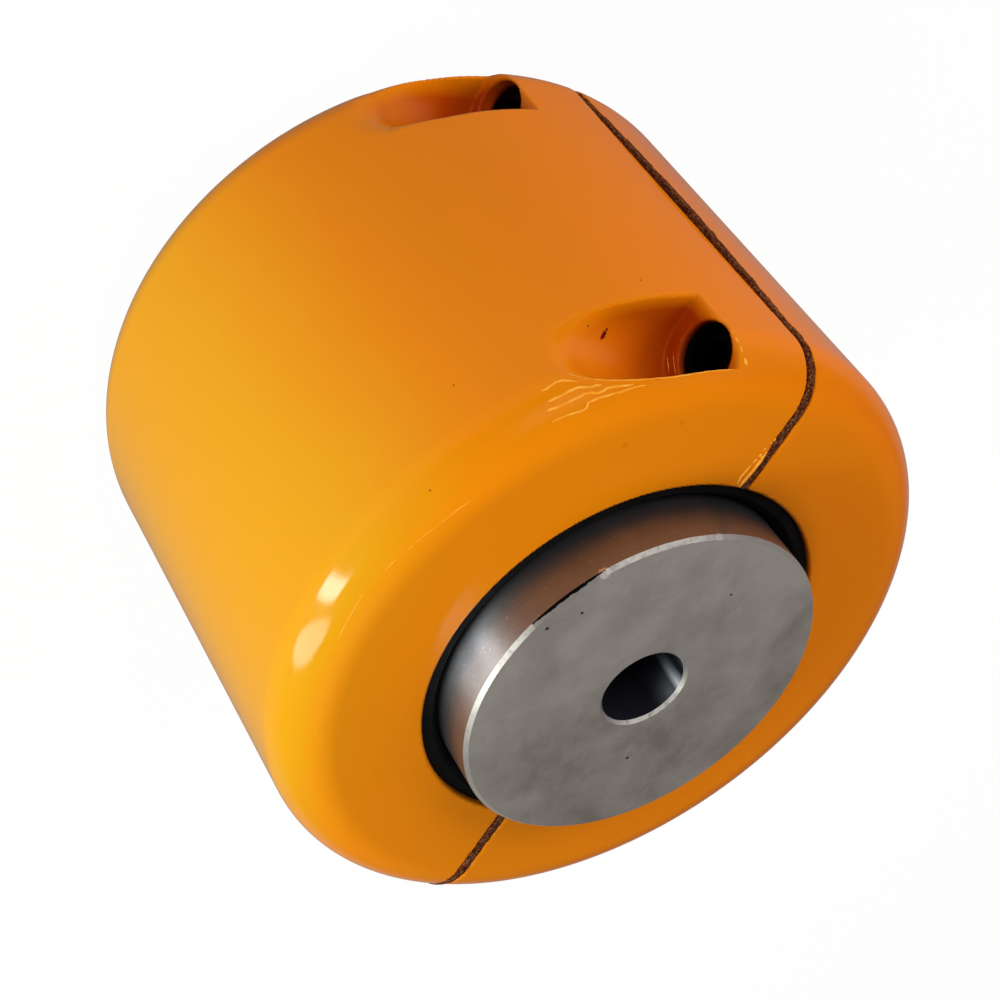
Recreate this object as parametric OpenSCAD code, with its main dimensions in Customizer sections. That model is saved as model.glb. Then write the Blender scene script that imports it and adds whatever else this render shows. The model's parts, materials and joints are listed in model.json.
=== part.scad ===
// Chain coupling. Two sprocket hubs stand face to face and a closed ring of duplex roller
// chain wraps both sets of teeth, so that one shaft drives the other. A cast case in two
// halves, closed with gaskets, seals and four socket screws, holds the grease round the chain.
// Z runs along the shafts. The origin is the centre of the lower hub's outer face.

/* [Hubs] */
// Outside diameter of each hub
hub_d = 60; // [50:1:63]
// Length of each hub, from its outer face to its toothed face
hub_len = 45; // [42:0.5:60]
// Diameter of the pilot bore
bore_d = 14; // [10:0.5:40]
// Gap between the two toothed faces
hub_gap = 9.7; // [9:0.1:11]
// Edge break round each outer hub face
hub_chamfer = 0.6; // [0.2:0.1:2]
// Edge break at both ends of the bore
bore_chamfer = 0.5; // [0.2:0.1:2]
// Length of hub that stands out of the case
hub_out = 7.35; // [4:0.05:10]

/* [Chain] */
// Teeth on each sprocket, which is also the number of chain pitches
teeth = 16; // [16:2:24]
// Distance from pin to pin
pitch = 15.875; // [15.6:0.005:17]
// Roller diameter
roller_d = 10.16; // [9.2:0.02:10.4]
// Width between the inner plates of one row
inner_w = 9.4; // [8.8:0.1:11]
// Pin diameter
pin_d = 5.08; // [4:0.02:5.4]
// Outside diameter of a bush
bush_d = 7.1; // [6.4:0.05:8]
// Thickness of every link plate
plate_t = 2.03; // [1.6:0.01:2.4]
// Height of an inner plate
inner_plate_h = 15.09; // [13:0.01:15.3]
// Height of an outer plate
outer_plate_h = 13; // [11:0.1:14.5]
// Thickness of the spring clip
clip_t = 1.2; // [0.8:0.1:1.6]

/* [Case] */
// Wall round the chain space
case_wall = 5.5; // [5:0.1:9]
// Radius of the rounded outer corners
case_corner = 8.3; // [5:0.1:9]
// Thickness of the gaskets between the halves
gasket_t = 1.5; // [0.5:0.1:2]
// How far a gasket bows out of the barrel, half way along it
gasket_bow = 0.8; // [0.2:0.1:1.2]
// Distance from the middle of a screw pocket to the barrel's surface
pocket_inset = 7.6; // [7:0.1:9]
// Distance from the middle of a screw pocket to the end of the case
pocket_end = 9.6; // [9:0.1:11]
// Radius of a screw pocket's round end, which is half the pocket's width
pocket_r = 7.2; // [6.5:0.05:8]
// Height of a pocket's floor above the middle of the split
pocket_floor = 14.3; // [13.5:0.1:16]

/* [Seals] */
// Width of the ring of seal that shows round the hub
seal_band = 3.4; // [2.6:0.1:5]
// Depth of the seal's groove beyond that ring
seal_grip = 3.6; // [2:0.1:4.5]
// Width of the seal's groove
seal_w = 6.5; // [5:0.1:8]
// Case wall outside the seal's groove
seal_lip = 2.5; // [2:0.1:4]

/* [Screws] */
// Thread diameter
screw_d = 6; // [5:0.5:6]
// Length under the head
screw_len = 20; // [16:1:22]
// Distance from a screw's axis to the barrel's surface
screw_inset = 7.2; // [7:0.1:9]
// Distance from a screw's axis to the end of the case
screw_end = 9; // [8:0.1:10.5]
// Metal between a screw's head and the split
screw_grip = 6; // [4:0.5:8]

/* [Hidden] */
big_fn = 144;
small_fn = 36;
cut = 0.5;              // cutters reach this far past what they cut
press = 0.01;           // gap between pieces pressed or screwed together
slip = 0.03;            // gap between pieces that slide in each other
run = 0.05;             // gap at a seal or roller that turns
snap = 0.005;           // tangent arcs cross by this much, so that they meet cleanly

hub_r = hub_d / 2;
mid_z = hub_len + hub_gap / 2;

// Chain ring: pins on the pitch circle, plates stacked outwards from each row's middle
step = 360 / teeth;
pitch_r = pitch / 2 / sin(step / 2);
chord_r = pitch_r * cos(step / 2);
link_play = 0.25;       // between an inner and an outer plate
mid_play = 0.09;        // between the two plates in the middle of the stack
waist = 0.82;           // a link plate's waist, as a share of its height
inner_z = inner_w / 2;
outer_z = inner_z + plate_t + link_play;
row_z = outer_z + plate_t + mid_play / 2;
stack_z = row_z + outer_z + plate_t;
rivet_h = 1.1;
rivet_spread = 0.4;
clip_end = 0.7;         // pin beyond the clip's groove
clip_groove = 0.55;
clip_slot = 0.8;        // the clip's slot, as a share of the pin's neck
pin_top = stack_z + clip_t + 2 * slip + clip_end;
roller_side = 0.1;
roller_w = inner_w - 2 * roller_side;
roller_bore = bush_d / 2 + run;
chain_r = pitch_r + max(inner_plate_h, outer_plate_h) / 2;

// Sprockets: a seat for each roller, flanks on large arcs, and bevelled sides
seat_clear = 0.2;
seat_r = roller_d / 2 + seat_clear;
seat_half = 67;
flank_r = roller_d * 2.165;
tip_r = pitch * (0.6 + 1 / tan(step / 2)) / 2;
tooth_w = 2 * row_z - hub_gap;
bevel_r = 0.26 * pitch;
bevel_w = 0.1 * pitch;

// Case: the chain space sets the bore and the barrel, the hubs set the length
chain_clear = 1.77;
side_clear = 1.23;
cavity_r = chain_r + chain_clear;
cavity_z = pin_top + side_clear;
cavity_corner = 3;
case_r = cavity_r + case_wall;
case_z = mid_z - hub_out;
grease_r = hub_r + 4;
land_r = hub_r + 2.2;
land_w = 1.5;
opening_r = hub_r + seal_band;
groove_r = opening_r + seal_grip;
seal_out = case_z - seal_lip;
seal_in = seal_out - seal_w;
bow_end = 1.2;          // a gasket's bow stops this far short of the rounded corners
seal_recess = 0.8;
lip_reach = 1.6;        // the sloping lip, measured out from the hub
lip_top = 2.4;          // its edge on the hub, below the end of the case
lip_w = 1;
lip_root = 5.2;

// Case screws
screw_x = case_r - screw_inset;
screw_z = case_z - screw_end;
pocket_x = case_r - pocket_inset;
pocket_z = case_z - pocket_end;
screw_r = screw_d / 2;
screw_clear = 0.3;
screw_point = 0.8;
head_r = screw_d * 0.8;
head_h = screw_d;
head_clear = 0.25;
head_break = 0.4;
hex_flats = screw_d * 5 / 6;
tap_spare = 2;
tap_depth = screw_len - screw_grip + tap_spare;

rows = ["lower", "upper"];
chain_nodes = ["riveted_pins", "connecting_pins", "mid_plates", "connecting_plate", "spring_clip"];
row_nodes = ["outer_plates", "inner_plates", "bushes"];

// Things that stand on the middle plane of the coupling
module at_middle(up = true) {
    translate([0, 0, mid_z])
        mirror([0, 0, up ? 0 : 1])
            children();
}

// Case halves

// Half of a band's section, centred on the middle plane and rounded at its outer corners
module rounded_band(r, half, corner) {
    translate([0, -half])
        square([r - corner, 2 * half]);
    translate([0, corner - half])
        square([r, 2 * (half - corner)]);
    for (end = [-1, 1])
        translate([r - corner, end * (half - corner)])
            circle(r = corner, $fn = big_fn);
}

// Section of the case on one side of its axis
module case_section() {
    difference() {
        rounded_band(case_r, case_z, case_corner);
        rounded_band(cavity_r, cavity_z, cavity_corner);
        translate([0, land_w - seal_in])
            square([grease_r, 2 * (seal_in - land_w)]);
        translate([0, -case_z - cut])
            square([land_r, 2 * (case_z + cut)]);
        for (end = [0, 1])
            mirror([0, end]) {
                translate([0, seal_in])
                    square([groove_r, seal_w]);
                translate([0, seal_out - cut])
                    square([opening_r, seal_lip + 2 * cut]);
            }
    }
}

// Along +Y from the split: clearance hole, seat for the head, and the pocket, which is round
// towards the shaft and runs straight out of the barrel
module screw_way() {
    rotate([-90, 0, 0]) {
        cylinder(r = screw_r + screw_clear, h = screw_grip + cut, $fn = small_fn);
        translate([0, 0, screw_grip])
            cylinder(r = head_r + head_clear, h = pocket_floor, $fn = small_fn);
    }
    translate([pocket_x - screw_x, pocket_floor, pocket_z - screw_z]) {
        rotate([-90, 0, 0])
            cylinder(r = pocket_r, h = case_r, $fn = big_fn);
        translate([0, 0, snap - pocket_r])
            cube([case_r, case_r, 2 * (pocket_r - snap)]);
    }
}

module tapped_hole() {
    rotate([-90, 0, 0])
        cylinder(r = screw_r + press, h = tap_depth, $fn = small_fn);
}

// The half on the +Y side, pockets at +X and tapped holes at -X
module case_half() {
    color("#d8821a")
        at_middle()
            difference() {
                rotate_extrude($fn = big_fn)
                    case_section();
                translate([-case_r - cut, gasket_t / 2 - 2 * case_r, -case_z - cut])
                    cube([2 * case_r + 2 * cut, 2 * case_r, 2 * case_z + 2 * cut]);
                for (end = [0, 1])
                    mirror([0, 0, end]) {
                        translate([screw_x, 0, screw_z])
                            screw_way();
                        translate([-screw_x, 0, screw_z])
                            tapped_hole();
                    }
            }
}

module front_case_half() {
    rotate([0, 0, 180])
        case_half();
}

module rear_case_half() {
    case_half();
}

// The case's section, with its edge bowed out a little along the barrel
module gasket_section() {
    bow_z = case_z - case_corner - bow_end;
    bow_r = (bow_z * bow_z + gasket_bow * gasket_bow) / (2 * gasket_bow);
    case_section();
    intersection() {
        translate([case_r + gasket_bow - bow_r, 0])
            circle(r = bow_r, $fn = big_fn);
        translate([case_r - cut, -bow_z])
            square([2 * (cut + gasket_bow), 2 * bow_z]);
    }
}

// Gaskets fill the split on each side
module gasket() {
    color("#5b2f17")
        at_middle()
            difference() {
                translate([0, gasket_t / 2, 0])
                    rotate([90, 0, 0])
                        linear_extrude(gasket_t)
                            gasket_section();
                for (end = [-1, 1])
                    translate([screw_x, -gasket_t, end * screw_z])
                        rotate([-90, 0, 0])
                            cylinder(r = screw_r + screw_clear, h = 2 * gasket_t, $fn = small_fn);
            }
}

module left_gasket() {
    rotate([0, 0, 180])
        gasket();
}

module right_gasket() {
    gasket();
}

// Socket screw along Y: its head's seat lies in the plane of the origin
module socket_screw() {
    rotate([-90, 0, 0])
        difference() {
            union() {
                cylinder(r = head_r, h = head_h - head_break, $fn = small_fn);
                translate([0, 0, head_h - head_break])
                    cylinder(r1 = head_r, r2 = head_r - head_break, h = head_break, $fn = small_fn);
                translate([0, 0, screw_point - screw_len])
                    cylinder(r = screw_r, h = screw_len - screw_point + cut, $fn = small_fn);
                translate([0, 0, -screw_len])
                    cylinder(r1 = screw_r - screw_point, r2 = screw_r, h = screw_point, $fn = small_fn);
            }
            translate([0, 0, head_h / 2])
                cylinder(d = hex_flats / cos(30), h = head_h, $fn = 6);
        }
}

module case_screws() {
    color("#1c1c1e")
        at_middle()
            for (side = [0, 180])
                rotate([0, 0, side])
                    for (end = [-1, 1])
                        translate([screw_x, screw_grip, end * screw_z])
                            socket_screw();
}

// Lip seal: its nose fills the opening and its foot sits in the case's groove
module seal(up) {
    nose_r = opening_r - run;
    foot_r = groove_r - run;
    back_r = hub_r + lip_reach;
    color("#1b1b1b")
        at_middle(up)
            rotate_extrude($fn = big_fn)
                polygon([
                    [hub_r + run, case_z - lip_top - lip_w],
                    [hub_r + run, case_z - lip_top],
                    [back_r, case_z - seal_recess],
                    [nose_r, case_z - seal_recess],
                    [nose_r, seal_out - run],
                    [foot_r, seal_out - run],
                    [foot_r, seal_in + run],
                    [back_r, seal_in + run],
                    [back_r, case_z - lip_root]
                ]);
}

// Sprocket hubs

// Between the flank arcs of two neighbouring seats, on the line of the tooth
module tooth_outline() {
    flank_at = seat_r + flank_r - snap;
    intersection() {
        circle(r = tip_r, $fn = big_fn);
        intersection_for (side = [-1, 1])
            rotate(side * step / 2)
                translate([pitch_r - flank_at * cos(seat_half), -side * flank_at * sin(seat_half)])
                    circle(r = flank_r, $fn = big_fn);
    }
}

module sprocket_outline() {
    seat_end = norm([pitch_r - seat_r * cos(seat_half), seat_r * sin(seat_half)]);
    difference() {
        union() {
            circle(r = seat_end, $fn = big_fn);
            for (i = [1:teeth])
                rotate((i + 0.5) * step)
                    tooth_outline();
        }
        for (i = [1:teeth])
            rotate(i * step)
                translate([pitch_r, 0])
                    circle(r = seat_r, $fn = small_fn);
    }
}

// Both sides of the toothed disc fall away towards the tips
module tooth_bevels() {
    rotate_extrude($fn = big_fn)
        polygon([
            [0, 0],
            [tip_r - bevel_r, 0],
            [tip_r + cut, bevel_w * (1 + cut / bevel_r)],
            [tip_r + cut, tooth_w - bevel_w * (1 + cut / bevel_r)],
            [tip_r - bevel_r, tooth_w],
            [0, tooth_w]
        ]);
}

// The hub above the middle plane
module hub(up) {
    color("#a7a39c")
        at_middle(up)
            translate([0, 0, hub_gap / 2])
                difference() {
                    union() {
                        intersection() {
                            linear_extrude(tooth_w)
                                sprocket_outline();
                            tooth_bevels();
                        }
                        cylinder(r = hub_r, h = hub_len - hub_chamfer, $fn = big_fn);
                        translate([0, 0, hub_len - hub_chamfer])
                            cylinder(r1 = hub_r, r2 = hub_r - hub_chamfer, h = hub_chamfer, $fn = big_fn);
                    }
                    translate([0, 0, -cut])
                        cylinder(d = bore_d, h = hub_len + 2 * cut, $fn = big_fn);
                    for (end = [0, hub_len])
                        translate([0, 0, end])
                            rotate([end > 0 ? 180 : 0, 0, 0])
                                translate([0, 0, -cut])
                                    cylinder(
                                        r1 = bore_d / 2 + bore_chamfer + cut,
                                        r2 = bore_d / 2,
                                        h = bore_chamfer + cut,
                                        $fn = big_fn
                                    );
                }
}

// Chain ring

// A waisted link plate with its pins at +-pitch/2 along Y
module plate_outline(height, hole_r) {
    end_r = height / 2;
    waist_x = end_r * waist;
    waist_r = (pitch * pitch / 4 + waist_x * waist_x - end_r * end_r) / (2 * (end_r - waist_x));
    shoulder = (waist_x + waist_r) * end_r / (end_r + waist_r);
    difference() {
        union() {
            square([2 * shoulder, pitch], center = true);
            for (side = [-1, 1])
                translate([0, side * pitch / 2])
                    circle(r = end_r, $fn = small_fn * 2);
        }
        for (side = [-1, 1]) {
            translate([side * (waist_x + waist_r), 0])
                circle(r = waist_r + snap, $fn = big_fn);
            translate([0, side * pitch / 2])
                circle(r = hole_r, $fn = small_fn);
        }
    }
}

// Links are counted round the ring: even ones are inner links, odd ones are outer links
module at_link(i) {
    rotate((i + 0.5) * step)
        translate([chord_r, 0, 0])
            children();
}

module at_pin(i) {
    rotate(i * step)
        translate([pitch_r, 0, 0])
            children();
}

module plate(height, hole_r, z) {
    translate([0, 0, z])
        linear_extrude(plate_t)
            plate_outline(height, hole_r);
}

module inner_plates(up) {
    color("#8d8a84")
        at_middle(up)
            for (i = [0:2:teeth - 1])
                at_link(i)
                    for (z = [row_z + inner_z, row_z - inner_z - plate_t])
                        plate(inner_plate_h, bush_d / 2 + press, z);
}

// The upper row leaves one outer link open for the connecting plate
module outer_plates(up) {
    color("#77746f")
        at_middle(up)
            for (i = [1:2:up ? teeth - 2 : teeth - 1])
                at_link(i)
                    plate(outer_plate_h, pin_d / 2 + press, row_z + outer_z);
}

module mid_plates() {
    color("#77746f")
        for (up = [true, false])
            at_middle(up)
                for (i = [1:2:teeth - 1])
                    at_link(i)
                        plate(outer_plate_h, pin_d / 2 + slip, row_z - outer_z - plate_t);
}

module bushes(up) {
    half = inner_z + plate_t;
    color("#9b978f")
        at_middle(up)
            for (i = [1:teeth])
                at_pin(i)
                    translate([0, 0, row_z - half])
                        difference() {
                            cylinder(d = bush_d, h = 2 * half, $fn = small_fn);
                            translate([0, 0, -cut])
                                cylinder(r = pin_d / 2 + slip, h = 2 * half + 2 * cut, $fn = small_fn);
                        }
}

module roller(up, i) {
    color("#b4b0a8")
        at_middle(up)
            at_pin(i)
                translate([0, 0, row_z - roller_w / 2])
                    difference() {
                        cylinder(d = roller_d, h = roller_w, $fn = small_fn * 2);
                        translate([0, 0, -cut])
                            cylinder(r = roller_bore, h = roller_w + 2 * cut, $fn = small_fn);
                    }
}

// A riveted end spreads just outside its plate
module rivet() {
    translate([0, 0, stack_z + press])
        cylinder(r1 = pin_d / 2 + rivet_spread, r2 = pin_d / 2 - rivet_spread, h = rivet_h, $fn = small_fn);
}

module riveted_pins() {
    color("#c2beb6")
        at_middle()
            for (i = [1:teeth - 2])
                at_pin(i) {
                    translate([0, 0, -stack_z - 2 * press])
                        cylinder(d = pin_d, h = 2 * (stack_z + 2 * press), $fn = small_fn);
                    rivet();
                    mirror([0, 0, 1])
                        rivet();
                }
}

// The last link's pins are riveted below and grooved above for the spring clip
module connecting_pins() {
    groove_z = stack_z + press;
    color("#c2beb6")
        at_middle()
            for (i = [teeth - 1, teeth])
                at_pin(i) {
                    mirror([0, 0, 1])
                        rivet();
                    difference() {
                        translate([0, 0, -stack_z - 2 * press])
                            cylinder(d = pin_d, h = stack_z + pin_top + 2 * press, $fn = small_fn);
                        translate([0, 0, groove_z])
                            difference() {
                                cylinder(d = pin_d + cut, h = clip_t + 2 * slip, $fn = small_fn);
                                translate([0, 0, -cut])
                                    cylinder(r = pin_d / 2 - clip_groove, h = 4 * cut, $fn = small_fn);
                            }
                    }
                }
}

module connecting_plate() {
    color("#77746f")
        at_middle()
            at_link(teeth - 1)
                plate(outer_plate_h, pin_d / 2 + slip, row_z + outer_z);
}

// Flat spring round both pins, open at one end
module spring_clip() {
    neck_r = pin_d / 2 - clip_groove;
    rim_r = outer_plate_h / 3;
    color("#3a3936")
        at_middle()
            at_link(teeth - 1)
                translate([0, 0, stack_z + press + slip])
                    linear_extrude(clip_t)
                        difference() {
                            union() {
                                square([2 * rim_r, pitch], center = true);
                                for (side = [-1, 1])
                                    translate([0, side * pitch / 2])
                                        circle(r = rim_r, $fn = small_fn);
                            }
                            for (side = [-1, 1])
                                translate([0, side * pitch / 2])
                                    circle(r = neck_r + slip, $fn = small_fn);
                            translate([-neck_r * clip_slot, -pitch])
                                square([2 * neck_r * clip_slot, 1.5 * pitch]);
                        }
}

front_case_half();
rear_case_half();
left_gasket();
right_gasket();
case_screws();
seal(false);  // lower_seal
seal(true);  // upper_seal
hub(false);  // lower_hub
hub(true);  // upper_hub
riveted_pins();
connecting_pins();
mid_plates();
connecting_plate();
spring_clip();
outer_plates(false);  // lower_outer_plates
outer_plates(true);  // upper_outer_plates
inner_plates(false);  // lower_inner_plates
inner_plates(true);  // upper_inner_plates
bushes(false);  // lower_bushes
bushes(true);  // upper_bushes
for (i = [1:teeth]) {
    roller(false, i);
    roller(true, i);
}
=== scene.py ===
# Chain coupling: a split orange case, steel hubs, rubber seals and the chain inside.
import json
import math

import bpy
import bmesh
import numpy as np
from mathutils import Matrix, Vector


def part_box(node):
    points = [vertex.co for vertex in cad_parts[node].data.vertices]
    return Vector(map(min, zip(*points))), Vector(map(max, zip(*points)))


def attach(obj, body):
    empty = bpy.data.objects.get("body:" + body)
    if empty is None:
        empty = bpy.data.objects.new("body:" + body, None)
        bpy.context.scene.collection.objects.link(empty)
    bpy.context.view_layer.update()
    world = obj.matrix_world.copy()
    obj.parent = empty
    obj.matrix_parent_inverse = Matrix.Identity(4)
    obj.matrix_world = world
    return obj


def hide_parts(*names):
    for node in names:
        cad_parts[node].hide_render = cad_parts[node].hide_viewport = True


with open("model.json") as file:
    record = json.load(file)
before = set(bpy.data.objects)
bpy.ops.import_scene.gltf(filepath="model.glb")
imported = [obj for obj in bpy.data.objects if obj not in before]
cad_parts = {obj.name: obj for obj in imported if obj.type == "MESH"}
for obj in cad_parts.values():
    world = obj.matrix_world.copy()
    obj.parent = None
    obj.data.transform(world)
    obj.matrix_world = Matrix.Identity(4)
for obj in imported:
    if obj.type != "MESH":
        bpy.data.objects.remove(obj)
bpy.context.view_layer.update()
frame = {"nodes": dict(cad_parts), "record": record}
nodes = frame["nodes"]
mm = 0.001
print("frame loaded:", len(nodes), "CAD nodes")


def linear(hexColour):
    # sRGB hex to linear RGBA
    rgb = [int(hexColour[i:i + 2], 16) / 255 for i in (1, 3, 5)]
    return [c / 12.92 if c <= 0.04045 else ((c + 0.055) / 1.055) ** 2.4 for c in rgb] + [1.0]


def perMm(size):
    # texture scale whose features are about this many millimetres across
    return 1.0 / (size * mm)


def feed(tree, node, inputs):
    # links or fills a node's inputs
    for name, value in inputs.items():
        if isinstance(value, bpy.types.NodeSocket):
            tree.links.new(value, node.inputs[name])
        else:
            node.inputs[name].default_value = value


def put(tree, kind, inputs=None, **settings):
    # adds a node, sets its properties, then feeds it
    node = tree.nodes.new(kind)
    for name, value in settings.items():
        setattr(node, name, value)
    feed(tree, node, inputs or {})
    return node


def maths(tree, operation, *values):
    return put(tree, "ShaderNodeMath", dict(enumerate(values)), operation=operation).outputs[0]


def vectors(tree, operation, *values):
    # vector maths; three of its operations give a number
    result = "Value" if operation in ("LENGTH", "DISTANCE", "DOT_PRODUCT") else "Vector"
    return put(tree, "ShaderNodeVectorMath", dict(enumerate(values)), operation=operation).outputs[result]


def scaled(tree, vector, share):
    return put(tree, "ShaderNodeVectorMath", {0: vector, "Scale": share}, operation="SCALE").outputs[0]


def axes(tree, vector):
    # a vector's X, Y and Z
    return put(tree, "ShaderNodeSeparateXYZ", {0: vector}).outputs


def spread(tree, value, low=0.0, high=1.0, least=0.0, most=1.0):
    # maps low to high onto least to most, and holds it there
    return put(tree, "ShaderNodeMapRange", {"Value": value, "From Min": low, "From Max": high,
                                            "To Min": least, "To Max": most}).outputs[0]


def mixed(tree, share, first, second, blend="MIX"):
    # two colours
    second = linear(second) if isinstance(second, str) else second
    return put(tree, "ShaderNodeMix", {0: share, 6: first, 7: second}, data_type="RGBA",
               blend_type=blend).outputs[2]


def between(tree, share, first, second):
    # two numbers, mixed
    return put(tree, "ShaderNodeMix", {0: share, 2: first, 3: second}, data_type="FLOAT").outputs[0]


def noise(tree, place, size, detail, **more):
    # size in mm
    inputs = {"Vector": place, "Scale": perMm(size), "Detail": detail, **more}
    return put(tree, "ShaderNodeTexNoise", inputs).outputs[0]


def bump(tree, height, strength, depth, **more):
    # depth in mm
    inputs = {"Height": height, "Strength": strength, "Distance": depth * mm, **more}
    return put(tree, "ShaderNodeBump", inputs).outputs[0]


def ramp(tree, factor, stops):
    # each stop is a position and a hex colour or a grey
    node = put(tree, "ShaderNodeValToRGB", {0: factor})
    while len(node.color_ramp.elements) < len(stops):
        node.color_ramp.elements.new(0.5)
    for element, (position, colour) in zip(node.color_ramp.elements, stops):
        element.position = position
        element.color = linear(colour) if isinstance(colour, str) else [colour] * 3 + [1]
    return node.outputs[0]


def spot(tree, colour, place, where, radius, wobble, rim, paint):
    # a spot with an uneven outline; rim says, in radii, where it starts and where it is full
    far = vectors(tree, "DISTANCE", place, where)
    far = maths(tree, "MULTIPLY_ADD", wobble, radius * mm, far)
    near = spread(tree, far, radius * mm * rim[0], radius * mm * rim[1])
    return mixed(tree, near, colour, paint)


def newMaterial(name, inputs):
    material = bpy.data.materials.new(name)
    material.use_nodes = True
    tree = material.node_tree
    tree.nodes.clear()
    shader = put(tree, "ShaderNodeBsdfPrincipled", inputs)
    put(tree, "ShaderNodeOutputMaterial", {"Surface": shader.outputs[0]})
    place = put(tree, "ShaderNodeTexCoord").outputs["Object"]
    return material, tree, shader, place


# Case casting, in mm; z of its own counts from the middle of the case, and top is its upper end's height
lowCorner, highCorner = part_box("rear_case_half")
casting = {
    "radius": highCorner.x / mm, "half": (highCorner.z - lowCorner.z) / 2 / mm, "corner": 8.3,
    "middle": (highCorner.z + lowCorner.z) / 2 / mm, "split": lowCorner.y / mm, "top": 92.35,
    "opening": 33.4, "pocketX": 47.9, "pocketZ": 32.9, "pocketRadius": 7.2, "floor": 14.3,
    "screwX": 48.3, "screwZ": 33.5, "counterbore": 5.05, "seat": 6.0, "tapped": 4, "aroundScrew": 10,
    # paint: soft rims of the lower and upper pocket, the flap over the gasket, the edge along the split
    "rimPaint": 0.45, "softRim": {-1: 3.2, 1: 1.8}, "softFrom": 46.5, "softOver": 5.0, "floorPaint": 0.5,
    "edgePaint": 0.45, "splitPaint": 0.12, "flap": 0.55, "flapX": 37.8, "flapReach": 4.6, "flapDown": 1.2,
    "ragged": 0.5, "raggedReach": 1.5,
    "waves": [(0.10, 2.1, 1.3, 0.7), (0.07, 5.3, -3.1, 0.0), (0.05, 11.7, 7.9, 1.9), (0.04, -9.1, 17.3, 0.4)],
    # drawing: cells, how far off a point may lie and still be moved, steps and rounds of the search
    "voxel": 0.5, "reach": 0.7, "rimReach": 2.0, "seatReach": 0.5, "snap": 0.26, "triangles": 170000,
    "step": 0.02, "flattest": 0.2, "rounds": 6, "ridgeRounds": 3,
}


# Orange machine enamel over a cast shell: sprayed thick, so it is glossy, soft at the rims and gently rippled
enamel = {
    # painted light: the coat's tones run from redder on the shaded back to yellower on the lit front
    "paintedLightCoat": [(0.0, "#ea7a03"), (0.45, "#ee8404"), (0.80, "#ee8905"), (0.97, "#e29a12")],
    "paintedLightWay": (0.3, -1, 0), "paintedLightFrom": -30, "paintedLightTo": 56, "cloud": 38, "cloudShare": 0.16,
    # painted light: the corner and end-face tints stand for how those faces take the light
    "cornerLightTint": "#f3f9ff", "onCorner": [(0.1, 0.0), (0.45, 1.0), (0.75, 1.0), (0.95, 0.0)],
    "endLightTint": "#e88a08", "endFrom": 0.8, "endShare": 0.5,
    # pocket: painted shade inside the pockets, darker and redder towards their floors
    "pocket": [(0.0, "#da7504"), (1.0, "#b24003")], "pocketReach": 11.0, "pocketTop": 31.0,
    "sunkFrom": 0.6, "sunkTo": 2.6, "lowerPaint": 1.9, "lowerShade": 0.35,
    "bareAndShade": "#070505", "bareFrom": 14.2, "bareTo": 12.9, "bareDull": 0.8, "holeRim": 0.35,
    "specular": 0.26, "gloss": 0.12, "pocketGloss": 0.26,
    "peel": 1.9, "peelBump": (0.06, 0.25), "ripple": 9.0, "rippleBump": (0.10, 0.6),
    "speck": "#4a2208", "chip": "#5e0c02", "dimpleShade": "#db7c04", "speckRim": (1.6, 1.2), "speckWobble": 0.5,
    # the threads' pale tones are painted highlight
    "edge": [(0.35, "#f59b20"), (0.65, "#ffba4c")], "edgePatch": 1.4,
}


def point(x, y, depth):
    # x and y in mm, depth in mm below the upper end of the case
    return (x * mm, y * mm, (casting["top"] - depth) * mm)


specks = [  # place, radius in mm, colour
    (point(-19.9, -50.1, 3.5), 0.16, "speck"), (point(-51.2, -21.4, 20.9), 0.15, "speck"),
    (point(-30.3, -46.5, 14.9), 0.13, "speck"), (point(-44.3, -30.2, 15.8), 0.16, "speck"),
    (point(-43.4, -27.2, 15.2), 0.30, "chip"), (point(-43.7, -27.0, 15.4), 0.42, "chip"),
    (point(-44.1, -26.8, 15.6), 0.40, "chip"), (point(-44.5, -26.6, 15.9), 0.26, "chip"),
    # the dimples are dents, painted a little darker than the coat as their shade
    (point(-35.9, -27.0, 0), 0.5, "dimpleShade"), (point(-41.5, -20.0, 0), 0.4, "dimpleShade"),
]


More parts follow.
